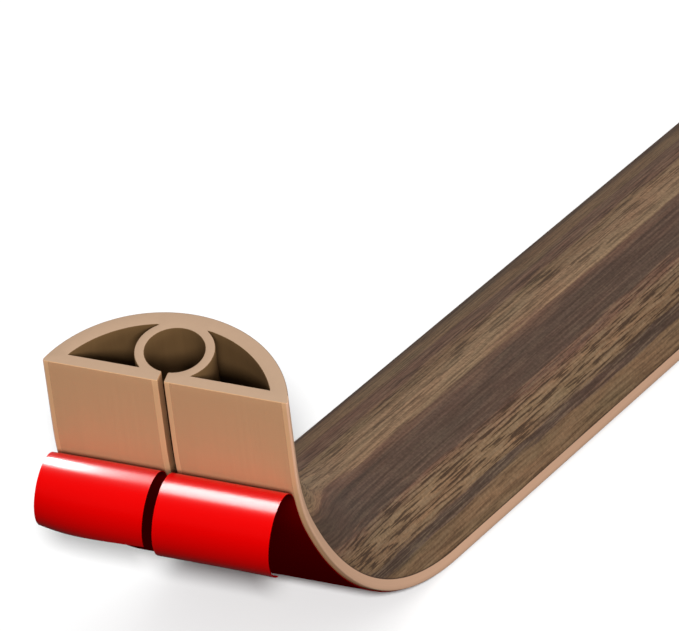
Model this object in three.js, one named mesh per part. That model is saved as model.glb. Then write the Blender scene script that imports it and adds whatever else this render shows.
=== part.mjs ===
// Floor cord cover: one length of soft PVC extrusion with a flat underside and a domed top. A round
// channel for a cord opens through a slit in the flat, and a long chamber lies on each side of it.
// The channel and its slit lie a little to the +Y side of the middle.
// The near end is turned up. Clear tape covers each half of the flat, and the tape's release liners
// are peeled back from the raised end and curl away from it.
// Millimetres. +X runs from the raised end to the far end, +Y is across, and +Z is up.

import * as THREE from 'three';

const degrees = THREE.MathUtils.degToRad;

// Extruded profile. The cover is as high as its channel with the walls under and over it.
const COVER_LENGTH = 1000;
const COVER_WIDTH = 60;
const FLOOR_WALL = 3.2;
const CHANNEL_DIAMETER = 14.2;
const CHANNEL_OFFSET = 1;
const CROWN_WALL = 5;
const CHANNEL_WALL = 2.4;
const DOME_WALL = 4;
const EDGE_HEIGHT = 0.8;
const EDGE_RADIUS = 0.4;
const SLIT_WIDTH = 1.5;
const SLIT_MOUTH_RADIUS = 0.5;
const SLIT_LIP_RADIUS = 0.3;

// Turned-up end, from the raised end to the floor. The radii are those of the flat underside.
const END_STRAIGHT = 22;
const TIGHT_BEND_RADIUS = 68;
const TIGHT_BEND_ANGLE = degrees(22);
const EASY_BEND_RADIUS = 200;
const EASY_BEND_ANGLE = degrees(38);

// Tape and release liners. The gap keeps each layer clear of the one above it.
const TAPE_THICKNESS = 0.2;
const TAPE_INSET = 1.4;
const LINER_THICKNESS = 0.2;
const LAYER_GAP = 0.05;
const PEELED_LENGTH = 33.5;

// The liners differ a little in where their edges lie and in how they curl. A tab is what the liner
// has beyond the tape for pulling it off.
const LEFT_LINER = { slitMargin: 1.05, edgeMargin: 0, tab: 0, curlRadius: 9.1 };
const RIGHT_LINER = { slitMargin: 0.05, edgeMargin: 1.5, tab: 6.5, curlRadius: 10 };

// Facets: the largest turn of one step along a bend or curl, and the steps of the section's arcs.
const BEND_STEP = degrees(3);
const CURL_STEP = degrees(11);
const DOME_STEPS = 28;
const RING_STEPS = 28;
const CHAMBER_STEPS = 10;
const ROUNDING_STEPS = 3;

const channelRadius = CHANNEL_DIAMETER / 2;
const channelHeight = FLOOR_WALL + channelRadius;
const coverHeight = FLOOR_WALL + CHANNEL_DIAMETER + CROWN_WALL;
const halfWidth = COVER_WIDTH / 2;
const halfSlit = SLIT_WIDTH / 2;

// The dome is one arc from edge to edge, so its radius follows from its width and its rise.
const domeRise = coverHeight - EDGE_HEIGHT;
const domeRadius = (halfWidth ** 2 + domeRise ** 2) / (2 * domeRise);
const domeCentre = coverHeight - domeRadius;

const tapeTop = -LAYER_GAP;
const linerTop = tapeTop - TAPE_THICKNESS - LAYER_GAP;

// A run of stock: its length, and how much it turns towards the dome, negative away from it.
function straight(length) {
  return { length, turn: 0, step: 1 };
}

function bend(radius, angle, step) {
  return { length: radius * Math.abs(angle), turn: angle, step };
}

const bends = [
  straight(END_STRAIGHT),
  bend(TIGHT_BEND_RADIUS, TIGHT_BEND_ANGLE, BEND_STEP),
  bend(EASY_BEND_RADIUS, EASY_BEND_ANGLE, BEND_STEP),
];
const bentLength = bends.reduce((sum, run) => sum + run.length, 0);
const coverRuns = [...bends, straight(COVER_LENGTH - bentLength)];
const raisedEnd = { x: 0, z: 0, slope: TIGHT_BEND_ANGLE + EASY_BEND_ANGLE };

// A station is a place on the flat underside, with the slope down towards the far end.
// One that is carried along a bend turns about the bend's centre.
function carry(station, length, turn) {
  const { x, z, slope } = station;
  if (turn === 0) {
    return { x: x + length * Math.cos(slope), z: z - length * Math.sin(slope), slope };
  }
  const radius = length / turn;
  const end = slope - turn;
  return {
    x: x + radius * (Math.sin(slope) - Math.sin(end)),
    z: z + radius * (Math.cos(slope) - Math.cos(end)),
    slope: end,
  };
}

function stationsAlong(start, runs) {
  const stations = [start];
  for (const run of runs) {
    const first = stations.at(-1);
    const count = Math.max(1, Math.ceil(Math.abs(run.turn) / run.step));
    for (let i = 1; i <= count; i += 1) {
      stations.push(carry(first, (run.length * i) / count, (run.turn * i) / count));
    }
  }
  return stations;
}

// What is left of a list of runs past a length from its start.
function runsPast(runs, length) {
  const rest = [];
  let skip = length;
  for (const run of runs) {
    const share = Math.max(0, 1 - skip / run.length);
    if (share > 0) {
      const kept = Math.min(1, share);
      rest.push({ ...run, length: run.length * kept, turn: run.turn * kept });
    }
    skip = Math.max(0, skip - run.length);
  }
  return rest;
}

function stationAt(start, runs, length) {
  let station = start;
  let left = length;
  for (const run of runs) {
    const part = Math.min(left, run.length);
    station = carry(station, part, (run.turn * part) / run.length);
    left -= part;
  }
  return station;
}

// A path in the X-Z plane through its stations. Its frames are exact: the section's x lies across
// the cover, and the section's y stands up from the flat.
class StockPath extends THREE.Curve {
  constructor(stations) {
    super();
    this.stations = stations;
  }

  get steps() {
    return this.stations.length - 1;
  }

  getPoint(t, target = new THREE.Vector3()) {
    const { x, z } = this.stations[Math.round(t * this.steps)];
    return target.set(x, 0, z);
  }

  getUtoTmapping(u) {
    return u;
  }

  computeFrenetFrames() {
    const slopes = this.stations.map((station) => station.slope);
    return {
      tangents: slopes.map((slope) => new THREE.Vector3(Math.cos(slope), 0, -Math.sin(slope))),
      normals: slopes.map(() => new THREE.Vector3(0, 1, 0)),
      binormals: slopes.map((slope) => new THREE.Vector3(Math.sin(slope), 0, Math.cos(slope))),
    };
  }
}

function extrudeAlong(shape, path) {
  return new THREE.ExtrudeGeometry(shape, { extrudePath: path, steps: path.steps });
}

// Section outlines. x is across, y is up from the flat.
function arc(centreX, centreY, radius, from, to, steps) {
  return Array.from({ length: steps + 1 }, (_, i) => {
    const angle = from + ((to - from) * i) / steps;
    return new THREE.Vector2(centreX + radius * Math.cos(angle), centreY + radius * Math.sin(angle));
  });
}

function mirrored(points) {
  return points.map((point) => new THREE.Vector2(-point.x, point.y)).reverse();
}

// Half of the outline, as seen with its side to the right: the slit's wall from the channel down,
// the rounded lips, the flat, the rounded edge and the low side wall. Side 1 is the +Y half of the
// cover and side -1 the other. The lip at the channel touches both the slit and the ring.
function lowerHalf(side) {
  const middle = side * CHANNEL_OFFSET;
  const mouthX = halfSlit + SLIT_MOUTH_RADIUS;
  const mouthReach = channelRadius + SLIT_MOUTH_RADIUS;
  const mouthY = channelHeight - Math.sqrt(mouthReach ** 2 - mouthX ** 2);
  const towardsRing = Math.atan2(channelHeight - mouthY, -mouthX);
  const lipX = middle + halfSlit + SLIT_LIP_RADIUS;
  const edgeX = halfWidth - EDGE_RADIUS;
  return [
    ...arc(middle + mouthX, mouthY, SLIT_MOUTH_RADIUS, towardsRing, Math.PI, ROUNDING_STEPS),
    ...arc(lipX, SLIT_LIP_RADIUS, SLIT_LIP_RADIUS, Math.PI, 1.5 * Math.PI, ROUNDING_STEPS),
    ...arc(edgeX, EDGE_RADIUS, EDGE_RADIUS, 1.5 * Math.PI, 2 * Math.PI, ROUNDING_STEPS),
  ];
}

function profileOutline() {
  const right = lowerHalf(1);
  const left = mirrored(lowerHalf(-1));
  const domeStart = Math.atan2(EDGE_HEIGHT - domeCentre, halfWidth);
  const dome = arc(0, domeCentre, domeRadius, domeStart, Math.PI - domeStart, DOME_STEPS);
  const lip = right[0];
  const ringEnd = Math.atan2(lip.y - channelHeight, lip.x - CHANNEL_OFFSET);
  const ringStart = -Math.PI - ringEnd;
  const ringStop = ringEnd - 2 * Math.PI;
  const channel = arc(CHANNEL_OFFSET, channelHeight, channelRadius, ringStart, ringStop, RING_STEPS);
  return [...right, ...dome, ...left, ...channel.slice(1, -1)];
}

// One chamber, as seen with its side to the right: the floor wall below it, the dome outside it and
// the channel's ring inside it. The dome's inside meets the ring at the top corner, which lies where
// two circles cross and is taken from the dome's centre.
function chamberOutline(side) {
  const insideRadius = domeRadius - DOME_WALL;
  const ringRadius = channelRadius + CHANNEL_WALL;
  const ringX = side * CHANNEL_OFFSET;
  const ringY = channelHeight - domeCentre;
  const apart = Math.hypot(ringX, ringY);
  const along = (insideRadius ** 2 - ringRadius ** 2 + apart ** 2) / (2 * apart);
  const beside = Math.sqrt(insideRadius ** 2 - along ** 2);
  const corner = new THREE.Vector2(ringX, ringY).setLength(along);
  corner.add(new THREE.Vector2(ringY, -ringX).setLength(beside));
  const tip = Math.asin((FLOOR_WALL - domeCentre) / insideRadius);
  const ringTop = Math.atan2(corner.y - ringY, corner.x - ringX);
  const ringFoot = Math.asin((FLOOR_WALL - channelHeight) / ringRadius);
  return [
    ...arc(0, domeCentre, insideRadius, tip, corner.angle(), CHAMBER_STEPS),
    ...arc(ringX, channelHeight, ringRadius, ringTop, ringFoot, CHAMBER_STEPS).slice(1),
  ];
}

function profileShape() {
  const shape = new THREE.Shape(profileOutline());
  const chambers = [chamberOutline(1), mirrored(chamberOutline(-1))];
  shape.holes.push(...chambers.map((chamber) => new THREE.Path(chamber)));
  return shape;
}

// A flat strip's section between a margin beside the slit and one beside the cover's edge, hanging
// below its top.
function stripShape(side, slitMargin, edgeMargin, top, thickness) {
  const inner = CHANNEL_OFFSET + side * (halfSlit + slitMargin);
  const outer = side * (halfWidth - edgeMargin);
  const low = Math.min(inner, outer);
  const high = Math.max(inner, outer);
  return new THREE.Shape([
    new THREE.Vector2(low, top - thickness),
    new THREE.Vector2(high, top - thickness),
    new THREE.Vector2(high, top),
    new THREE.Vector2(low, top),
  ]);
}

const coverPath = new StockPath(stationsAlong(raisedEnd, coverRuns));

// A liner's path starts at its free end, runs back round the curl to the peel line, and from there
// on follows the cover.
function linerPath(curlRadius, tab) {
  const peel = stationAt(raisedEnd, coverRuns, PEELED_LENGTH);
  const freeLength = PEELED_LENGTH + tab;
  const curlAngle = freeLength / curlRadius;
  const freeEnd = carry(peel, -freeLength, curlAngle);
  const curl = bend(curlRadius, -curlAngle, CURL_STEP);
  return new StockPath(stationsAlong(freeEnd, [curl, ...runsPast(coverRuns, PEELED_LENGTH)]));
}

const pvc = new THREE.MeshStandardMaterial({ color: 0x8f6f57, roughness: 0.55, metalness: 0 });
const clearTape = new THREE.MeshStandardMaterial({ color: 0xab8462, roughness: 0.25, metalness: 0 });
const redFilm = new THREE.MeshStandardMaterial({ color: 0xd80808, roughness: 0.2, metalness: 0 });

function piece(name, geometry, material) {
  const mesh = new THREE.Mesh(geometry, material);
  mesh.name = name;
  return mesh;
}

function tape(name, side) {
  const shape = stripShape(side, TAPE_INSET, TAPE_INSET, tapeTop, TAPE_THICKNESS);
  return piece(name, extrudeAlong(shape, coverPath), clearTape);
}

function liner(name, side, { slitMargin, edgeMargin, tab, curlRadius }) {
  const shape = stripShape(side, slitMargin, edgeMargin, linerTop, LINER_THICKNESS);
  return piece(name, extrudeAlong(shape, linerPath(curlRadius, tab)), redFilm);
}

const cordCover = new THREE.Group();
cordCover.add(
  piece('cover_profile', extrudeAlong(profileShape(), coverPath), pvc),
  tape('tape_left', 1),
  tape('tape_right', -1),
  liner('liner_left', 1, LEFT_LINER),
  liner('liner_right', -1, RIGHT_LINER),
);

// The cover stands on the floor, centred over the origin.
const box = new THREE.Box3().setFromObject(cordCover);
const centre = box.getCenter(new THREE.Vector3());
cordCover.position.set(-centre.x, -centre.y, -box.min.z);

export default cordCover;
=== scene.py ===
"""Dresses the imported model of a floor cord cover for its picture, laid out as a Blender add-on.

The cover is one soft PVC extrusion with a printed walnut film on its dome. Its near end is turned
up, and the red release liners of the two tapes under it are peeled back and curl away. Every size
is in metres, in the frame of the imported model: +X runs from the raised end to the far end, +Y is
across and +Z is up.
"""

import math

import bpy
import numpy as np
from mathutils import Matrix, Vector
from mathutils.geometry import delaunay_2d_cdt


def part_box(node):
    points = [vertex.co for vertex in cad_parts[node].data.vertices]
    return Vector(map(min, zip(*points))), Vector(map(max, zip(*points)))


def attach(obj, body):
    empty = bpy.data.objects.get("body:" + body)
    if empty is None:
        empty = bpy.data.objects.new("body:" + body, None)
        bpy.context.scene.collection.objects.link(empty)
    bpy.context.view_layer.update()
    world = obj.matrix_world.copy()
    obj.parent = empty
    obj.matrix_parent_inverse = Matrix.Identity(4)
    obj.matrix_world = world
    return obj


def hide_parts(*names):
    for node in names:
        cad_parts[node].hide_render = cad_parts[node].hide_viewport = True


bl_info = {
    "name": "Floor Cord Cover",
    "version": (1, 0, 0),
    "blender": (4, 5, 0),
    "location": "View3D > Sidebar > Cord Cover",
    "description": "Builds a soft PVC floor cord cover with a walnut print and peeled tape liners",
    "category": "Add Mesh",
}

MM = 0.001
STRIP_MAP = "Along and round"

# What a segment of the extrusion's outline is, which is also its material slot.
PLAIN, SIDE, SLIT, PRINTED, INSIDE, CUT = range(6)

# How fine the meshes are: segments in a small round of the outline, rows in the rounding of a cut,
# the distance between rows in the bends, rows along the floor, columns of a liner, and rows of its
# curl.
CORNER_STEPS = 6
CUT_ROWS = 4
BEND_STEP = 3 * MM
FLOOR_ROWS = 44
LINER_COLUMNS = 40
CURL_ROWS = 90

# An edge is sharp where the faces beside it turn by more than this.
SHARP_ANGLE = math.radians(32)

# Numbers of a colour Mix node's factor and two colours, and of its result.
FACTOR, FIRST, SECOND = 0, 6, 7
MIXED = 2

# The print from edge to edge, round the dome.
PRINT_WIDTH = 75 * MM

# Bands of the print: millimetres from its -Y edge, and the colour there.
PRINT_BANDS = (
    (0, "olive"),
    (6, "walnut"),
    (7.2, "heart"),
    (9.4, "heart"),
    (10.4, "walnut"),
    (16, "walnut"),
    (19.6, "russet"),
    (20.8, "heart"),
    (28.4, "heart"),
    (31.6, "russet"),
    (32.6, "sapwood"),
    (38, "sapwood"),
    (42.4, "walnut"),
    (43.4, "russet"),
    (48.4, "russet"),
    (49.2, "walnut"),
    (54, "walnut"),
    (59, "heart"),
    (64, "russet"),
    (74, "olive"),
)

# How much of the pores and flecks shows: millimetres from the print's -Y edge, and the share.
DASHES_SHOWN = (
    (0, 0.6),
    (6, 0.4),
    (11, 1),
    (19, 1),
    (21, 0.25),
    (31, 0.25),
    (35, 0.6),
    (42, 0.9),
    (47, 0.6),
    (74, 0.6),
)

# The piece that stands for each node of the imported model.
PIECE_OF = {
    "cover_profile": "cord_cover",
    "tape_left": "clear_tape_left",
    "tape_right": "clear_tape_right",
    "liner_left": "red_liner_left",
    "liner_right": "red_liner_right",
}
PLASTIC = ("cord_cover", "clear_tape_left", "clear_tape_right")
FILMS = ("red_liner_left", "red_liner_right")

# The point that every softbox faces.
RAISED_END = (-0.47, 0, 0.06)

# Softboxes: name, place, width and height, power in watts, and the objects that each one lights.
SOFTBOXES = (
    ("overhead", (-0.3, 0.2, 2.0), (1.8, 1.8), 14, (*PLASTIC, *FILMS)),
    ("side", (-0.6, -1.9, 0.6), (1.0, 0.8), 13, (*PLASTIC, *FILMS)),
    ("front", (-2.2, -0.55, 0.3), (0.9, 0.5), 31, PLASTIC),
    ("high_front", (-1.9, -0.5, 0.9), (0.9, 0.5), 22, FILMS),
)

# Long lamps over the liners that only show as a gloss on one liner each, laid out the same way.
# Each lies across the liner's curl, with its width along the curl's axis.
SHEENS = (
    ("left_sheen", (-0.3, 0.205, 0.45), (0.02, 0.3), 12, FILMS[:1]),
    ("right_sheen", (-0.44, 0.113, 0.45), (0.1, 0.27), 10, FILMS[1:]),
)

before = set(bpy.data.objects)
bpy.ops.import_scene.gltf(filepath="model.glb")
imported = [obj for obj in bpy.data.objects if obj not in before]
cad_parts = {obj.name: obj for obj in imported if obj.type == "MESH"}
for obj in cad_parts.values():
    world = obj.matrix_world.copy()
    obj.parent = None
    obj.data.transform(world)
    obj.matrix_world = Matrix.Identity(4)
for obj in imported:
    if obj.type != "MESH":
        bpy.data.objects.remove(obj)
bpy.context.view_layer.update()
COVER_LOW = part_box("cover_profile")[0]


class ExtrusionSizes(bpy.types.PropertyGroup):
    """Section of the extrusion and the way its near end is turned up."""

    width: bpy.props.FloatProperty(
        name="Width", description="Across the flat underside", default=60 * MM, unit="LENGTH"
    )
    height: bpy.props.FloatProperty(
        name="Height", description="From the flat to the crown", default=22.4 * MM, unit="LENGTH"
    )
    length: bpy.props.FloatProperty(
        name="Length", description="Along the flat underside", default=1000 * MM, unit="LENGTH"
    )
    floor_wall: bpy.props.FloatProperty(
        name="Floor wall", description="Wall under the channel", default=3.2 * MM, unit="LENGTH"
    )
    channel: bpy.props.FloatProperty(
        name="Channel", description="Bore of the cord channel", default=14.2 * MM, unit="LENGTH"
    )
    channel_offset: bpy.props.FloatProperty(
        name="Channel offset", description="Off the middle, to +Y", default=1 * MM, unit="LENGTH"
    )
    channel_wall: bpy.props.FloatProperty(
        name="Channel wall", description="Wall round the bore", default=2.4 * MM, unit="LENGTH"
    )
    dome_wall: bpy.props.FloatProperty(
        name="Dome wall", description="Wall of the dome", default=4 * MM, unit="LENGTH"
    )
    edge_height: bpy.props.FloatProperty(
        name="Edge height", description="Low upright side wall", default=0.8 * MM, unit="LENGTH"
    )
    edge_radius: bpy.props.FloatProperty(
        name="Edge radius", description="Corner of the flat", default=0.4 * MM, unit="LENGTH"
    )
    slit: bpy.props.FloatProperty(
        name="Slit", description="Gap that lets a cord in", default=1.5 * MM, unit="LENGTH"
    )
    mouth_radius: bpy.props.FloatProperty(
        name="Mouth radius", description="Slit's corner inside", default=0.5 * MM, unit="LENGTH"
    )
    lip_radius: bpy.props.FloatProperty(
        name="Lip radius", description="Slit's corner at the flat", default=0.3 * MM, unit="LENGTH"
    )
    print_height: bpy.props.FloatProperty(
        name="Print height", description="Where the print begins", default=2.7 * MM, unit="LENGTH"
    )
    cut_rounding: bpy.props.FloatProperty(
        name="Cut rounding", description="Softened cut corner", default=0.15 * MM, unit="LENGTH"
    )
    end_straight: bpy.props.FloatProperty(
        name="Straight end", description="Before the first bend", default=22 * MM, unit="LENGTH"
    )
    bend_radii: bpy.props.FloatVectorProperty(
        name="Bend radii", description="Tight, then easy", size=2,
        default=(68 * MM, 200 * MM), unit="LENGTH",
    )
    bend_angles: bpy.props.FloatVectorProperty(
        name="Bend angles", description="Tight, then easy", size=2,
        default=(math.radians(22), math.radians(38)), unit="ROTATION",
    )


class FilmSizes(bpy.types.PropertyGroup):
    """Tapes and liners. A pair gives the edge next to the slit, then the outer edge."""

    thickness: bpy.props.FloatProperty(
        name="Thickness", description="Of tape and liner", default=0.2 * MM, unit="LENGTH"
    )
    gap: bpy.props.FloatProperty(
        name="Gap", description="Clear space between layers", default=0.05 * MM, unit="LENGTH"
    )
    tape_inset: bpy.props.FloatProperty(
        name="Tape inset", description="Bare margin beside a tape", default=1.4 * MM, unit="LENGTH"
    )
    peeled: bpy.props.FloatProperty(
        name="Peeled", description="Raised end to the peel line", default=33.5 * MM, unit="LENGTH"
    )
    left_edges: bpy.props.FloatVectorProperty(
        name="Left edges", description="Places across", size=2,
        default=(2.8 * MM, 30 * MM), unit="LENGTH",
    )
    left_radii: bpy.props.FloatVectorProperty(
        name="Left radii", description="Of the curl", size=2,
        default=(9.6 * MM, 8.7 * MM), unit="LENGTH",
    )
    left_reach: bpy.props.FloatVectorProperty(
        name="Left reach", description="Film in the curl", size=2,
        default=(31 * MM, 33.7 * MM), unit="LENGTH",
    )
    right_edges: bpy.props.FloatVectorProperty(
        name="Right edges", description="Places across", size=2,
        default=(0.2 * MM, -28.5 * MM), unit="LENGTH",
    )
    right_radii: bpy.props.FloatVectorProperty(
        name="Right radii", description="Of the curl", size=2,
        default=(9.8 * MM, 9.9 * MM), unit="LENGTH",
    )
    right_reach: bpy.props.FloatVectorProperty(
        name="Right reach", description="Film in the curl", size=2,
        default=(37 * MM, 39.2 * MM), unit="LENGTH",
    )


def linear(text):
    """A '#rrggbb' sRGB colour as linear red, green, blue and an alpha of 1.

    Each channel under 0.04045 is divided by 12.92, and a larger one is ((c + 0.055) / 1.055)^2.4.
    """
    channels = np.array([int(text[i : i + 2], 16) for i in (1, 3, 5)]) / 255
    low = channels / 12.92
    high = ((channels + 0.055) / 1.055) ** 2.4
    return (*np.where(channels <= 0.04045, low, high).tolist(), 1.0)


def colour(name, description, text):
    """A colour property whose default is an sRGB hex value."""
    return bpy.props.FloatVectorProperty(
        name=name, description=description, size=4, subtype="COLOR", min=0, max=1,
        default=linear(text),
    )


class Colours(bpy.types.PropertyGroup):
    """Colours of the plastics, the print and the films."""

    pvc: colour("PVC", "Tan compound of the extrusion", "#cca077")
    # Painted light: the side wall is the same PVC painted lighter, for the light that falls on
    # that side.
    side: colour("Side wall", "The same compound, painted lighter for the light on that side", "#d1a688")
    slit: colour("Slit wall", "The same compound in the shade of the slit", "#ad825d")
    cut: colour("Cut PVC", "Paler where a blade has passed", "#b2957c")
    # Painted shade: the inside is the PVC painted dark, for the shade in the channel and chambers.
    inside: colour("Inside", "Skin of the channel and chambers", "#664d31")
    walnut: colour("Walnut", "Ground colour of the print", "#80664e")
    olive: colour("Olive", "Olive band of the print beside its edge", "#785f48")
    sapwood: colour("Sapwood", "Lightest bands of the print", "#8f745c")
    heart: colour("Heartwood", "Broad grey-brown bands of the print", "#58463d")
    russet: colour("Russet", "Reddish bands of the print", "#725648")
    pore: colour("Pores", "Short dark dashes of the print", "#3f2e23")
    fleck: colour("Flecks", "Short pale dashes of the print", "#8f795f")
    tape: colour("Tape", "Film and glue over the PVC", "#c69c76")
    liner: colour("Liner", "Dyed release film", "#e80000")
    # Painted shade: the liner's back is the same red film painted dark, for the shade inside the
    # curl and under the cover.
    liner_back_shaded: colour("Liner back", "Uncoated back of the release film, painted dark as shade", "#860002")
    floor: colour("Floor", "Seamless studio paper", "#f4f4f4")


class Stage(bpy.types.PropertyGroup):
    """Camera and lights."""

    azimuth: bpy.props.FloatProperty(
        name="Azimuth", description="View turned from +X to +Y",
        default=math.radians(16.89), subtype="ANGLE",
    )
    elevation: bpy.props.FloatProperty(
        name="Elevation", description="Camera above the horizon",
        default=math.radians(16.96), subtype="ANGLE",
    )
    roll: bpy.props.FloatProperty(
        name="Roll", description="Camera about its own axis",
        default=math.radians(4.9), subtype="ANGLE",
    )
    aim: bpy.props.FloatVectorProperty(
        name="Aim", description="Point in the middle of the picture", size=3,
        default=(-446.91 * MM, -29.09 * MM, 92.59 * MM), unit="LENGTH",
    )
    distance: bpy.props.FloatProperty(
        name="Distance", description="Camera to the aim", default=2791.4 * MM, unit="LENGTH"
    )
    lens: bpy.props.FloatProperty(
        name="Lens", description="Focal length in millimetres", default=636.2, unit="CAMERA"
    )
    floor_lamp: bpy.props.FloatProperty(
        name="Floor lamp", description="Strength of the far lamp on the floor", default=8.7
    )
    floor_lamp_angle: bpy.props.FloatProperty(
        name="Floor lamp angle", description="How far above the view it stands",
        default=math.radians(2.5), subtype="ANGLE",
    )
    floor_lamp_spread: bpy.props.FloatProperty(
        name="Floor lamp spread", description="Its width as the floor sees it",
        default=math.radians(4.4), subtype="ANGLE",
    )
    sky: bpy.props.FloatProperty(
        name="Sky", description="Strength of the room above the horizon", default=0.4
    )
    bounce: bpy.props.FloatProperty(
        name="Bounce", description="Strength of the room below the horizon", default=0.08
    )


# Shapes


def arc(centre, radius, start, end, steps):
    """Points on a circle at equal angles: the centre plus the radius times cosine and sine."""
    angle = np.linspace(start, end, steps + 1)
    return np.stack([centre[0] + radius * np.cos(angle), centre[1] + radius * np.sin(angle)], 1)


def mirrored(points):
    """The points on the other side of the middle, in the order that keeps the PVC on the left."""
    return points[::-1] * (-1, 1)


def dome_circle(sizes):
    """Radius and centre height of the arc through both edges and the crown.

    An arc with half chord a and rise b has the radius (a^2 + b^2) / (2 b).
    """
    rise = sizes.height - sizes.edge_height
    radius = ((sizes.width / 2) ** 2 + rise**2) / (2 * rise)
    return radius, sizes.height - radius


def lower_half(sizes, side):
    """Half the outline below the dome, as seen with its side to the right, and its zones.

    It runs down the slit, round the lip, along the flat and up the low side wall. The mouth's
    circle touches the slit's wall and the bore, so its centre is one mouth radius outside both.
    The slit's zone ends a third of the way round the lip.
    """
    middle, half_slit, half_width = side * sizes.channel_offset, sizes.slit / 2, sizes.width / 2
    mouth, lip, bore = sizes.mouth_radius, sizes.lip_radius, sizes.channel / 2
    bore_height = sizes.floor_wall + bore
    across = half_slit + mouth
    up = bore_height - math.sqrt((bore + mouth) ** 2 - across**2)
    towards_bore = math.atan2(bore_height - up, -across)
    corner = half_width - sizes.edge_radius
    down = 1.5 * math.pi
    points = np.concatenate([
        arc((middle + across, up), mouth, towards_bore, math.pi, CORNER_STEPS),
        arc((middle + half_slit + lip, lip), lip, math.pi, down, CORNER_STEPS),
        arc((corner, sizes.edge_radius), sizes.edge_radius, down, 2 * math.pi, CORNER_STEPS),
    ])
    lip_in_slit = CORNER_STEPS // 3
    in_slit = CORNER_STEPS + 1 + lip_in_slit
    on_flat = CORNER_STEPS - lip_in_slit + 1
    return points, np.repeat([SLIT, PLAIN, SIDE], (in_slit, on_flat, CORNER_STEPS + 1))


def outer_outline(sizes):
    """The extrusion's outline with its open bore, and the zone of each segment.

    It runs down the slit, along the flat, over the dome, back up the slit and round the bore, with
    the PVC on its left.
    """
    radius, centre = dome_circle(sizes)
    edge = math.asin((sizes.edge_height - centre) / radius)
    printed = math.asin((sizes.print_height - centre) / radius)
    right, right_zones = lower_half(sizes, 1)
    left, left_zones = lower_half(sizes, -1)
    side = arc((0, centre), radius, edge, printed, steps=3)[:-1]
    dome = arc((0, centre), radius, printed, math.pi - printed, steps=120)
    middle = np.array((sizes.channel_offset, sizes.floor_wall + sizes.channel / 2))
    lip = math.atan2(*(right[0] - middle)[::-1])
    bore = arc(middle, sizes.channel / 2, -math.pi - lip, lip - 2 * math.pi, steps=72)[:-1]
    points = np.concatenate([right, side, dome, mirrored(side), mirrored(left)[:-1], bore])
    zones = np.concatenate([
        right_zones,
        np.repeat([SIDE, PRINTED, SIDE], (len(side), len(dome) - 1, len(side) + 1)),
        left_zones[-2::-1],
        np.full(len(bore), INSIDE),
    ])
    return points, zones


def chamber_outline(sizes, side):
    """One chamber's outline, as seen with its side to the right and the PVC on the left.

    The dome's inside and the outside of the bore's wall meet where both circles cross. That corner
    is found from the dome's centre, along and beside the line to the bore's centre.
    """
    radius, centre = dome_circle(sizes)
    radius -= sizes.dome_wall
    ring = sizes.channel / 2 + sizes.channel_wall
    bore_height = sizes.floor_wall + sizes.channel / 2
    to_bore = np.array((side * sizes.channel_offset, bore_height - centre))
    apart = np.linalg.norm(to_bore)
    along = (radius**2 - ring**2 + apart**2) / (2 * apart)
    beside = math.sqrt(radius**2 - along**2)
    corner = (along * to_bore + beside * np.array((to_bore[1], -to_bore[0]))) / apart
    ring_top = math.atan2(*(corner - to_bore)[::-1])
    tip = math.asin((sizes.floor_wall - centre) / radius)
    foot = math.asin((sizes.floor_wall - bore_height) / ring)
    under_dome = arc((0, centre), radius, tip, math.atan2(*corner[::-1]), steps=48)
    beside_bore = arc((to_bore[0], bore_height), ring, ring_top, foot, steps=36)[1:]
    return np.concatenate([under_dome, beside_bore])[::-1]


def away_from_pvc(outline):
    """Unit normals of a closed outline: the mean of the right-hand normals of its two segments."""
    step = np.roll(outline, -1, 0) - outline
    step /= np.linalg.norm(step, axis=1, keepdims=True)
    normal = np.stack([step[:, 1], -step[:, 0]], 1)
    normal += np.roll(normal, 1, 0)
    return normal / np.linalg.norm(normal, axis=1, keepdims=True)


def underside(sizes, distance):
    """Place and slope of the flat underside at distances from the raised end: x, z and slope.

    On a straight run the point goes on along the slope. On a bend of radius r the slope falls by
    the distance over r, and the point moves by r times the change in the slope's sine (x) and
    cosine (z). The runs start where the last one ends on the floor.
    """
    bends = list(zip(sizes.bend_radii, sizes.bend_angles))
    runs = [(sizes.end_straight, 0.0), *((radius * angle, angle) for radius, angle in bends)]
    runs.append((sizes.length, 0.0))
    distance = np.append(distance, sizes.length)
    x, z = np.zeros((2, len(distance)))
    slope = np.full(len(distance), sum(sizes.bend_angles))
    done = 0.0
    for length, turn in runs:
        part = np.clip(distance - done, 0, length)
        if turn:
            radius = length / turn
            after = slope - part / radius
            x += radius * (np.sin(slope) - np.sin(after))
            z += radius * (np.cos(slope) - np.cos(after))
            slope = after
        else:
            x += part * np.cos(slope)
            z -= part * np.sin(slope)
        done += length
    return x[:-1] + COVER_LOW.x, z[:-1] - z[-1] + COVER_LOW.z, slope[:-1]


def along_cover(sizes, start):
    """Distances from a start to the far end, close together as far as the bends reach."""
    bent = sizes.end_straight + np.dot(sizes.bend_radii, sizes.bend_angles)
    in_bends = np.arange(start, bent, BEND_STEP)
    on_floor = np.linspace(bent, sizes.length, FLOOR_ROWS)
    return np.concatenate([in_bends, on_floor])


def placed(sizes, distance, across, up):
    """Points of a section at distances along the cover.

    A point is the underside's place, plus across along Y, plus up times the underside's normal,
    which is the slope's sine along X and its cosine along Z.
    """
    x, z, slope = (values[:, None] for values in underside(sizes, distance))
    x = x + up * np.sin(slope)
    z = z + up * np.cos(slope)
    return np.stack(np.broadcast_arrays(x, across, z), axis=-1)


def grid_quads(grid):
    """What a grid holds at the four corners of each quad between its neighbours."""
    corners = [grid[:-1, :-1], grid[:-1, 1:], grid[1:, 1:], grid[1:, :-1]]
    return np.stack([corner.reshape(-1, *grid.shape[2:]) for corner in corners], 1)


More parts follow.
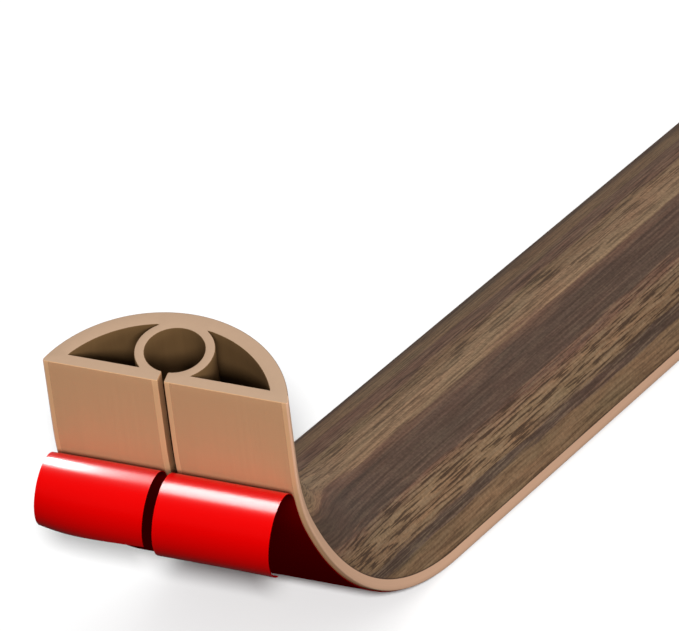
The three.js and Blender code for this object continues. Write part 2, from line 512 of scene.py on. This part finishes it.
def cut_face(outlines):
    """Triangles between an outline and the holes in it, from a constrained Delaunay division.

    The division works in millimetres, and fails where it would have to add a point.
    """
    points = np.concatenate(outlines) / MM
    first = len(outlines[0])
    outer = list(range(first))
    hole_edges = []
    for hole in outlines[1:]:
        index = first + np.arange(len(hole))
        hole_edges += np.stack([index, np.roll(index, -1)], 1).tolist()
        first += len(hole)
    inside_with_holes = 2
    smallest_step = 1e-6
    corners, _, triangles, *_ = delaunay_2d_cdt(
        [Vector(point) for point in points], hole_edges, [outer], inside_with_holes, smallest_step
    )
    if len(corners) != len(points):
        raise RuntimeError("the cut face's outlines cross")
    return np.array(triangles)


def mesh_object(name, vertices, faces, uv, zones, materials):
    """A smooth mesh with sharp corners, one UV pair for each corner and a zone for each face.

    The faces are a list of arrays with three or four columns, and uv and zones go with each.
    """
    mesh = bpy.data.meshes.new(name)
    all_faces = [face for part in faces for face in part.tolist()]
    mesh.from_pydata(vertices.tolist(), [], all_faces)
    layer = mesh.uv_layers.new(name=STRIP_MAP)
    places = np.concatenate([part.reshape(-1) for part in uv])
    layer.uv.foreach_set("vector", places.astype(np.float32))
    mesh.polygons.foreach_set("material_index", np.concatenate(zones).astype(np.int32))
    for material in materials:
        mesh.materials.append(material)
    mesh.shade_smooth()
    mesh.set_sharp_from_angle(angle=SHARP_ANGLE)
    mesh.validate()
    piece = bpy.data.objects.new(name, mesh)
    bpy.context.scene.collection.objects.link(piece)
    return piece


def rounded_cuts(sizes):
    """Distances of the mesh's rows along the cover, and how far the outlines draw back at each.

    Near a cut each outline draws back along its normal by r (1 - cos t) where it is r (1 - sin t)
    from the cut, so the corner is a quarter round of radius r.
    """
    turn = np.linspace(math.pi / 2, 0, CUT_ROWS)
    from_cut = sizes.cut_rounding * (1 - np.sin(turn))
    drawn_back = sizes.cut_rounding * (1 - np.cos(turn))
    middle = along_cover(sizes, BEND_STEP)[:-1]
    distance = np.concatenate([from_cut, middle, sizes.length - from_cut[::-1]])
    inset = np.concatenate([drawn_back, np.zeros(len(middle)), drawn_back[::-1]])
    return distance, inset[:, None]


def loop_map(loop, distance):
    """UV pairs for the quads of an outline carried along the cover.

    The map's u is the distance along, and v the distance round the outline from its highest point.
    """
    step = np.linalg.norm(np.roll(loop, -1, 0) - loop, axis=1)
    round_it = np.concatenate([[0], np.cumsum(step)])
    round_it -= round_it[np.argmax(loop[:, 1])]
    return grid_quads(np.stack(np.meshgrid(distance, round_it, indexing="ij"), -1))


def extrusion_mesh(sizes, materials):
    """The outline and both chambers carried along the cover, closed by its two cut faces."""
    outline, outline_zones = outer_outline(sizes)
    chambers = [chamber_outline(sizes, 1), mirrored(chamber_outline(sizes, -1))]
    loops = [outline, *chambers]
    loop_zones = [outline_zones, *(np.full(len(chamber), INSIDE) for chamber in chambers)]
    distance, inset = rounded_cuts(sizes)
    rows = len(distance)
    vertices, faces, uv, zones = [], [], [], []
    sections, near, far = [], [], []
    first = 0
    for loop, loop_zone in zip(loops, loop_zones):
        normal = away_from_pvc(loop)
        across = loop[:, 0] - inset * normal[:, 0]
        up = loop[:, 1] - inset * normal[:, 1]
        vertices.append(placed(sizes, distance, across, up).reshape(-1, 3))
        index = first + np.arange(rows * len(loop)).reshape(rows, -1)
        first += index.size
        faces.append(grid_quads(np.concatenate([index, index[:, :1]], 1)))
        uv.append(loop_map(loop, distance))
        zones.append(np.tile(loop_zone, rows - 1))
        sections.append(np.stack([across[0], up[0]], 1))
        near.append(index[0])
        far.append(index[-1])
    triangles = cut_face(sections)
    section = np.concatenate(sections)
    for ends, corners in ((near, triangles[:, ::-1]), (far, triangles)):
        faces.append(np.concatenate(ends)[corners])
        uv.append(section[corners])
        zones.append(np.full(len(triangles), CUT))
    name = PIECE_OF["cover_profile"]
    return mesh_object(name, np.concatenate(vertices), faces, uv, zones, materials)


def film_mesh(name, upper, lower, along, materials):
    """A thin film between two grids of points, closed by a rim round their borders.

    The map's u is the distance along and v the place across. The upper face has the first
    material and the rest the last.
    """
    rows, columns = upper.shape[:2]
    count = rows * columns
    index = np.arange(count).reshape(rows, columns)
    top = grid_quads(index)
    rim = np.concatenate([index[0, :-1], index[:-1, -1], index[-1, :0:-1], index[:0:-1, 0]])
    after = np.roll(rim, -1)
    wall = np.stack([after, rim, rim + count, after + count], 1)
    vertices = np.concatenate([upper.reshape(-1, 3), lower.reshape(-1, 3)])
    faces = [top, top[:, ::-1] + count, wall]
    place = np.stack([np.repeat(along, columns), upper[..., 1].ravel()], 1)
    uv = [np.tile(place, (2, 1))[part] for part in faces]
    back = len(materials) - 1
    zones = [np.full(len(part), slot) for part, slot in zip(faces, (0, back, back))]
    return mesh_object(name, vertices, faces, uv, zones, materials)


def tape_mesh(name, sizes, films, side, materials):
    """A flat strip over the whole length of one half of the flat."""
    inner = sizes.channel_offset + side * (sizes.slit / 2 + films.tape_inset)
    outer = side * (sizes.width / 2 - films.tape_inset)
    across = np.sort([inner, outer])[::-1]
    distance = along_cover(sizes, 0)
    top = -films.gap
    upper = placed(sizes, distance, across, top)
    lower = placed(sizes, distance, across, top - films.thickness)
    return film_mesh(name, upper, lower, distance, materials)


def liner_mesh(name, sizes, films, edges, radii, reach, materials):
    """A liner that lies on the tape up to the peel line and curls away from the cover beyond it.

    In the curl a point at the angle t stands at r (cos t - 1) along the underside's normal and
    r sin t back towards the raised end. From one edge to the other the film's reach changes evenly
    and the radius r with the cube of the way. The curl's last angle is reach over radius.
    """
    share = np.linspace(0, 1, LINER_COLUMNS)
    across = edges[0] + share * (edges[1] - edges[0])
    radius = radii[0] + share**3 * (radii[1] - radii[0])
    length = reach[0] + share * (reach[1] - reach[0])
    curl = np.linspace(1, 0, CURL_ROWS)[:, None]
    angle = curl * length / radius
    peel_x, peel_z, slope = (float(v[0]) for v in underside(sizes, np.array([films.peeled])))
    back = np.array([-math.cos(slope), 0, math.sin(slope)])
    normal = np.array([math.sin(slope), 0, math.cos(slope)])
    on_cover = along_cover(sizes, films.peeled)[1:]
    top = -2 * films.gap - films.thickness
    faces_of_film = []
    for up in (top, top - films.thickness):
        r = radius - (top - up)
        raised = (up - r + r * np.cos(angle))[..., None] * normal
        pulled = (r * np.sin(angle))[..., None] * back
        curled = np.array([peel_x, 0, peel_z]) + raised + pulled
        curled[..., 1] = across
        laid = placed(sizes, on_cover, across, up)
        faces_of_film.append(np.concatenate([curled, laid]))
    along = np.concatenate([films.peeled - curl[:, 0] * np.mean(reach), on_cover])
    if edges[1] > edges[0]:
        faces_of_film = [grid[:, ::-1] for grid in faces_of_film]
    return film_mesh(name, *faces_of_film, along, materials)


# Materials


def add(tree, kind, inputs=None, **settings):
    """Adds a node with its settings. Each input is given a value, or an output to link to it."""
    node = tree.nodes.new(kind)
    for key, value in settings.items():
        setattr(node, key, value)
    for key, value in (inputs or {}).items():
        if isinstance(value, bpy.types.NodeSocket):
            tree.links.new(value, node.inputs[key])
        else:
            node.inputs[key].default_value = value
    return node


def new_material(name):
    """An empty node material and its tree."""
    material = bpy.data.materials.new(name)
    material.use_nodes = True
    material.node_tree.nodes.clear()
    return material, material.node_tree


def finish_surface(tree, inputs):
    """Ends the tree with a surface of the given colour, roughness and so on."""
    shader = add(tree, "ShaderNodeBsdfPrincipled", inputs)
    add(tree, "ShaderNodeOutputMaterial", {"Surface": shader.outputs["BSDF"]})


def strip_place(tree):
    """The two outputs of the piece's own map: the distance along and the place round."""
    uv = add(tree, "ShaderNodeUVMap", uv_map=STRIP_MAP)
    split = add(tree, "ShaderNodeSeparateXYZ", {"Vector": uv.outputs["UV"]})
    return split.outputs["X"], split.outputs["Y"]


def grain(tree, place, along, round_it, detail):
    """Noise from 0 to 1 over the map's two outputs, with features of the two given sizes."""
    point = add(tree, "ShaderNodeCombineXYZ", {"X": place[0], "Y": place[1]})
    scaled = add(tree, "ShaderNodeMapping", {
        "Vector": point.outputs["Vector"], "Scale": (1 / along, 1 / round_it, 1),
    })
    noise = add(tree, "ShaderNodeTexNoise", {
        "Vector": scaled.outputs["Vector"], "Scale": 1, "Detail": detail, "Roughness": 0.6,
    }, noise_dimensions="2D")
    return noise.outputs["Fac"]


def shaded(tree, base, share, dark, light):
    """A colour multiplied by a second one, which goes from dark to light with the share."""
    shade = add(tree, "ShaderNodeMix", {
        FACTOR: share, FIRST: (*dark, 1), SECOND: (*light, 1),
    }, data_type="RGBA")
    product = add(tree, "ShaderNodeMix", {
        FACTOR: 1, FIRST: base, SECOND: shade.outputs[MIXED],
    }, data_type="RGBA", blend_type="MULTIPLY")
    return product.outputs[MIXED]


def extruded_pvc(name, base):
    """Soft PVC as it leaves the die: a satin skin with faint lines along it."""
    material, tree = new_material(name)
    lines = grain(tree, strip_place(tree), 120 * MM, 0.9 * MM, 4)
    body = shaded(tree, base, lines, (0.93,) * 3, (1.05,) * 3)
    finish_surface(tree, {
        "Base Color": body, "Roughness": 0.5, "IOR": 1.53, "Specular IOR Level": 0.2,
    })
    return material


def cut_pvc(colours):
    """The same PVC where a blade has passed: matt and a little paler."""
    material, tree = new_material("Cut PVC")
    mottle = grain(tree, strip_place(tree), 2 * MM, 2 * MM, 3)
    body = shaded(tree, colours.cut, mottle, (0.97,) * 3, (1.02,) * 3)
    finish_surface(tree, {
        "Base Color": body, "Roughness": 0.7, "IOR": 1.53, "Specular IOR Level": 0.1,
    })
    return material


def inner_pvc_shaded(colours):
    """The skin inside the channel and chambers: duller than the outside, and painted darker as
    shade in those hollows.
    """
    material, tree = new_material("Inner PVC skin")
    lines = grain(tree, strip_place(tree), 60 * MM, 2.5 * MM, 3)
    body = shaded(tree, colours.inside, lines, (0.85,) * 3, (1.1,) * 3)
    finish_surface(tree, {
        "Base Color": body, "Roughness": 0.7, "IOR": 1.53, "Specular IOR Level": 0.15,
    })
    return material


def set_stops(ramp, stops):
    """Gives a colour ramp over the print's width its stops, each a place in mm and a colour."""
    while len(ramp.elements) < len(stops):
        ramp.elements.new(1.0)
    for element, (place, shade) in zip(ramp.elements, stops):
        element.position = place * MM / PRINT_WIDTH
        element.color = shade


def print_place(tree):
    """How far a point is from the print's -Y edge, round the dome, and its place in the grain.

    The place is the distance along and the distance round. Over the bend the grain slides towards
    that edge by the square of the way into the bend.
    """
    no_slide_at, full_slide_at, full_slide = 180 * MM, 40 * MM, 34.8 * MM
    u, from_crown = strip_place(tree)
    way = add(tree, "ShaderNodeMapRange", {
        "Value": u, "From Min": no_slide_at, "From Max": full_slide_at,
    })
    square = add(tree, "ShaderNodeMath", {0: way.outputs["Result"], 1: 2}, operation="POWER")
    slide = add(tree, "ShaderNodeMath", {
        0: square.outputs[0], 1: full_slide,
    }, operation="MULTIPLY")
    from_edge = add(tree, "ShaderNodeMath", {
        0: PRINT_WIDTH / 2, 1: from_crown,
    }, operation="SUBTRACT")
    v = add(tree, "ShaderNodeMath", {
        0: from_edge.outputs[0], 1: slide.outputs[0],
    }, operation="ADD")
    return from_edge.outputs[0], (u, v.outputs[0])


def band_place(tree, place):
    """The way across the bands, from 0 to 1, with wandering lines and frayed borders."""
    wander, fray = 1.8 * MM, 3 * MM
    low_noise = add(tree, "ShaderNodeMapRange", {
        "Value": grain(tree, place, 150 * MM, 12 * MM, 1), "To Min": -wander, "To Max": wander,
    })
    streaks = add(tree, "ShaderNodeMapRange", {
        "Value": grain(tree, place, 55 * MM, 1.6 * MM, 4), "To Min": -fray, "To Max": fray,
    })
    moved = add(tree, "ShaderNodeMath", {
        0: low_noise.outputs["Result"], 1: streaks.outputs["Result"],
    }, operation="ADD")
    band = add(tree, "ShaderNodeMath", {0: place[1], 1: moved.outputs[0]}, operation="ADD")
    share = add(tree, "ShaderNodeMath", {0: band.outputs[0], 1: PRINT_WIDTH}, operation="DIVIDE")
    return share.outputs[0]


def with_dashes(tree, body, place, across, colours):
    """The body colour with short dark pores and pale flecks along the grain.

    The dashes are where one streaked noise is highest and lowest. Real pores are too fine to show
    here, so each dash, about 8 mm long and half a millimetre wide, stands for a group of them.
    """
    shown = add(tree, "ShaderNodeValToRGB", {"Fac": across})
    set_stops(shown.color_ramp, [(at, (share,) * 4) for at, share in DASHES_SHOWN])
    noise = grain(tree, place, 24 * MM, 0.6 * MM, 3)
    for begins, full, strength, tint in (
        (0.52, 0.59, 0.85, colours.pore),
        (0.46, 0.38, 0.45, colours.fleck),
    ):
        dashes = add(tree, "ShaderNodeMapRange", {
            "Value": noise, "From Min": begins, "From Max": full, "To Max": strength,
        })
        share = add(tree, "ShaderNodeMath", {
            0: dashes.outputs["Result"], 1: shown.outputs["Color"],
        }, operation="MULTIPLY")
        body = add(tree, "ShaderNodeMix", {
            FACTOR: share.outputs[0], FIRST: body, SECOND: tint,
        }, data_type="RGBA").outputs[MIXED]
    return body


def walnut_print(colours):
    """A printed walnut film under a satin lacquer, laminated to the dome.

    Bands of heartwood and sapwood follow the grain, with fine streaks, broad warm and cool
    patches, short dashes and a slight mottle over them. A thin line along its edge is darker.
    """
    material, tree = new_material("Walnut print film")
    from_edge, place = print_place(tree)
    across = band_place(tree, place)
    bands = add(tree, "ShaderNodeValToRGB", {"Fac": across})
    set_stops(bands.color_ramp, [(at, getattr(colours, wood)) for at, wood in PRINT_BANDS])
    streaks = grain(tree, place, 100 * MM, 0.9 * MM, 5)
    body = shaded(tree, bands.outputs["Color"], streaks, (0.3, 0.29, 0.28), (1.68, 1.66, 1.6))
    patches = grain(tree, place, 60 * MM, 5 * MM, 2)
    body = shaded(tree, body, patches, (1.1, 0.94, 0.9), (0.91, 1.03, 1.0))
    body = with_dashes(tree, body, place, across, colours)
    mottle = grain(tree, place, 1.6 * MM, 0.8 * MM, 1)
    body = shaded(tree, body, mottle, (0.7,) * 3, (1.3,) * 3)
    # The colour darkens towards the pore colour within half a millimetre of the print's edge.
    edge_line = add(tree, "ShaderNodeMapRange", {
        "Value": from_edge, "From Min": 0.5 * MM, "From Max": 0.2 * MM, "To Max": 0.8,
    })
    body = add(tree, "ShaderNodeMix", {
        FACTOR: edge_line.outputs["Result"], FIRST: body, SECOND: colours.pore,
    }, data_type="RGBA")
    finish_surface(tree, {
        "Base Color": body.outputs[MIXED], "Roughness": 0.5, "IOR": 1.5,
        "Specular IOR Level": 0.04,
    })
    return material


def clear_tape(colours):
    """Clear double-sided tape: a thin film and glue that darken the PVC under them."""
    material, tree = new_material("Clear acrylic tape")
    finish_surface(tree, {
        "Base Color": colours.tape, "Roughness": 0.3, "IOR": 1.48, "Alpha": 0.16,
        "Specular IOR Level": 0.3,
    })
    return material


def red_film(colours):
    """Red polythene release film, dyed through and glossy."""
    material, tree = new_material("Red release film")
    finish_surface(tree, {
        "Base Color": colours.liner, "Roughness": 0.25, "IOR": 1.51, "Specular IOR Level": 0.07,
    })
    return material


def red_film_back_shaded(colours):
    """The film's uncoated back: matt, and painted a deep red as shade inside the curl and under
    the cover.
    """
    material, tree = new_material("Red release film back")
    finish_surface(tree, {
        "Base Color": colours.liner_back_shaded, "Roughness": 0.7, "Specular IOR Level": 0,
    })
    return material


def studio_paper(colours):
    """White seamless paper with a slight sheen."""
    material, tree = new_material("Studio paper")
    finish_surface(tree, {
        "Base Color": colours.floor, "Roughness": 0.35, "IOR": 1.45, "Specular IOR Level": 0.3,
    })
    return material


# Operators


def finish_piece(piece, node):
    """The piece stands for a node, rides on the part's body and takes its finish from a slot."""
    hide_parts(node)
    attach(piece, "root")


class CORDCOVER_OT_extrusion(bpy.types.Operator):
    """Builds the printed PVC extrusion with its channel, slit and chambers"""

    bl_idname = "cord_cover.extrusion"
    bl_label = "Extrusion"

    def execute(self, context):
        scene = context.scene
        colours = scene.cover_colours
        materials = [
            extruded_pvc("Extruded PVC", colours.pvc),
            # Painted light: a lighter copy of the PVC for the side wall, where light falls from
            # the side.
            extruded_pvc("Extruded PVC at the side", colours.side),
            extruded_pvc("Extruded PVC in the slit", colours.slit),
            walnut_print(colours),
            # Painted shade: the inner skin is painted darker for the shade in the hollows.
            inner_pvc_shaded(colours),
            cut_pvc(colours),
        ]
        cover = extrusion_mesh(scene.cover_sizes, materials)
        finish_piece(cover, "cover_profile")
        return {"FINISHED"}


class CORDCOVER_OT_tapes(bpy.types.Operator):
    """Builds the two clear tapes on the flat underside"""

    bl_idname = "cord_cover.tapes"
    bl_label = "Tapes"

    def execute(self, context):
        scene = context.scene
        material = clear_tape(scene.cover_colours)
        for node, side in (("tape_left", 1), ("tape_right", -1)):
            sizes, films = scene.cover_sizes, scene.cover_films
            tape = tape_mesh(PIECE_OF[node], sizes, films, side, [material])
            finish_piece(tape, node)
        return {"FINISHED"}


class CORDCOVER_OT_liners(bpy.types.Operator):
    """Builds the two red liners, peeled back and curled at the raised end"""

    bl_idname = "cord_cover.liners"
    bl_label = "Liners"

    def execute(self, context):
        scene = context.scene
        sizes, films = scene.cover_sizes, scene.cover_films
        # Painted shade: the back of each liner is painted deep red for the shade inside its curl.
        materials = [red_film(scene.cover_colours), red_film_back_shaded(scene.cover_colours)]
        for node, edges, radii, reach in (
            ("liner_left", films.left_edges, films.left_radii, films.left_reach),
            ("liner_right", films.right_edges, films.right_radii, films.right_reach),
        ):
            liner = liner_mesh(PIECE_OF[node], sizes, films, edges, radii, reach, materials)
            finish_piece(liner, node)
        return {"FINISHED"}


def view_axes(stage):
    """Unit vectors of the view: forward, to the right and up in the picture.

    Forward is turned by the azimuth from +X towards +Y and tipped down by the elevation. Right is
    forward crossed with Z, up is right crossed with forward, and both are turned by the roll.
    """
    forward = Vector((
        math.cos(stage.azimuth) * math.cos(stage.elevation),
        math.sin(stage.azimuth) * math.cos(stage.elevation),
        -math.sin(stage.elevation),
    ))
    right = forward.cross(Vector((0, 0, 1))).normalized()
    roll = Matrix.Rotation(-stage.roll, 3, forward)
    return forward, roll @ right, roll @ right.cross(forward)


def add_camera(stage):
    """A long lens at the photograph's viewing angle."""
    forward, right, up = view_axes(stage)
    camera = bpy.data.objects.new("camera", bpy.data.cameras.new("camera"))
    camera.data.lens = stage.lens
    camera.data.clip_end = 10
    place = Vector(stage.aim) - stage.distance * forward
    axes = Matrix((right, up, -forward)).transposed()
    camera.matrix_world = Matrix.Translation(place) @ axes.to_4x4()
    bpy.context.scene.collection.objects.link(camera)
    bpy.context.scene.camera = camera


def light_only(lamp, names):
    """Makes a lamp light the named objects and nothing else."""
    receivers = bpy.data.collections.new(lamp.name + " lights")
    for name in names:
        receivers.objects.link(bpy.data.objects[name])
    lamp.light_linking.receiver_collection = receivers


def add_softbox(name, place, size, power, lit):
    """A flat oval light that faces the raised end, with its width as near along Y as it can be."""
    light = bpy.data.lights.new(name, "AREA")
    light.shape = "ELLIPSE"
    light.size, light.size_y = size
    light.energy = power
    softbox = bpy.data.objects.new(name, light)
    facing = (Vector(place) - Vector(RAISED_END)).normalized()
    height_axis = facing.cross(Vector((0, 1, 0))).normalized()
    axes = Matrix((height_axis.cross(facing), height_axis, facing)).transposed()
    softbox.matrix_world = Matrix.Translation(place) @ axes.to_4x4()
    bpy.context.scene.collection.objects.link(softbox)
    light_only(softbox, lit)
    return softbox


def add_floor_lamp(stage):
    """A far lamp just above the camera for the floor alone, so that little of a shadow shows."""
    forward, right, up = view_axes(stage)
    angle = stage.floor_lamp_angle
    facing = math.sin(angle) * up - math.cos(angle) * forward
    light = bpy.data.lights.new("floor_lamp", "SUN")
    light.energy = stage.floor_lamp
    light.angle = stage.floor_lamp_spread
    lamp = bpy.data.objects.new("floor_lamp", light)
    lamp.matrix_world = Matrix((right, facing.cross(right), facing)).transposed().to_4x4()
    bpy.context.scene.collection.objects.link(lamp)
    light_only(lamp, ("floor",))


def add_floor(colours):
    """A wide sheet of paper just under the cover. Its bounce is left to the room's lower half."""
    reach = 4.0
    height = -0.1 * MM
    corners = [(-reach, -reach), (reach, -reach), (reach, reach), (-reach, reach)]
    mesh = bpy.data.meshes.new("floor")
    mesh.from_pydata([(x, y, height) for x, y in corners], [], [(0, 1, 2, 3)])
    mesh.materials.append(studio_paper(colours))
    floor = bpy.data.objects.new("floor", mesh)
    floor.visible_diffuse = False
    floor.visible_glossy = False
    bpy.context.scene.collection.objects.link(floor)


def add_room(stage):
    """A room that is white above the horizon and dim below it, with a soft change between."""
    horizon = 0.1
    world = bpy.data.worlds.new("Studio room")
    world.use_nodes = True
    tree = world.node_tree
    way = add(tree, "ShaderNodeTexCoord")
    split = add(tree, "ShaderNodeSeparateXYZ", {"Vector": way.outputs["Generated"]})
    strength = add(tree, "ShaderNodeMapRange", {
        "Value": split.outputs["Z"], "From Min": -horizon, "From Max": horizon,
        "To Min": stage.bounce, "To Max": stage.sky,
    })
    background = tree.nodes["Background"]
    background.inputs["Color"].default_value = (1, 1, 1, 1)
    tree.links.new(strength.outputs["Result"], background.inputs["Strength"])
    bpy.context.scene.world = world


class CORDCOVER_OT_stage(bpy.types.Operator):
    """Sets the camera, the pale floor and the soft studio light"""

    bl_idname = "cord_cover.stage"
    bl_label = "Stage"

    def execute(self, context):
        scene = context.scene
        stage = scene.cover_stage
        add_camera(stage)
        add_floor(scene.cover_colours)
        add_room(stage)
        for name, place, size, power, lit in SOFTBOXES:
            softbox = add_softbox(name, place, size, power, lit)
            softbox.visible_glossy = False
        for name, place, size, power, lit in SHEENS:
            sheen = add_softbox(name, place, size, power, lit)
            sheen.visible_diffuse = False
            # Nothing but the liner itself stands in the way of its sheen.
            sheen.light_linking.blocker_collection = sheen.light_linking.receiver_collection
        add_floor_lamp(stage)
        scene.view_settings.view_transform = "Standard"
        return {"FINISHED"}


class CORDCOVER_PT_panel(bpy.types.Panel):
    """Lists the cover's pieces, sizes and colours"""

    bl_idname = "CORDCOVER_PT_panel"
    bl_label = "Cord Cover"
    bl_space_type = "VIEW_3D"
    bl_region_type = "UI"
    bl_category = "Cord Cover"

    def draw(self, context):
        scene = context.scene
        for operator in OPERATORS:
            self.layout.operator(operator.bl_idname)
        for group, attribute in PROPERTY_GROUPS.items():
            box = self.layout.box()
            for key in group.__annotations__:
                box.prop(getattr(scene, attribute), key)


# Each group of sizes or colours, and the scene's attribute that holds it.
PROPERTY_GROUPS = {
    ExtrusionSizes: "cover_sizes",
    FilmSizes: "cover_films",
    Colours: "cover_colours",
    Stage: "cover_stage",
}
OPERATORS = (
    CORDCOVER_OT_extrusion,
    CORDCOVER_OT_tapes,
    CORDCOVER_OT_liners,
    CORDCOVER_OT_stage,
)


def register():
    """Registers the classes and gives each scene the sizes and colours."""
    for group, attribute in PROPERTY_GROUPS.items():
        bpy.utils.register_class(group)
        setattr(bpy.types.Scene, attribute, bpy.props.PointerProperty(type=group))
    for operator in OPERATORS:
        bpy.utils.register_class(operator)
    bpy.utils.register_class(CORDCOVER_PT_panel)


def unregister():
    """Takes the sizes, the colours and the classes away again."""
    bpy.utils.unregister_class(CORDCOVER_PT_panel)
    for operator in reversed(OPERATORS):
        bpy.utils.unregister_class(operator)
    for group, attribute in reversed(PROPERTY_GROUPS.items()):
        delattr(bpy.types.Scene, attribute)
        bpy.utils.unregister_class(group)


def main():
    """Builds every piece and the stage."""
    register()
    bpy.ops.cord_cover.extrusion()
    bpy.ops.cord_cover.tapes()
    bpy.ops.cord_cover.liners()
    bpy.ops.cord_cover.stage()


if __name__ == "__main__":
    main()
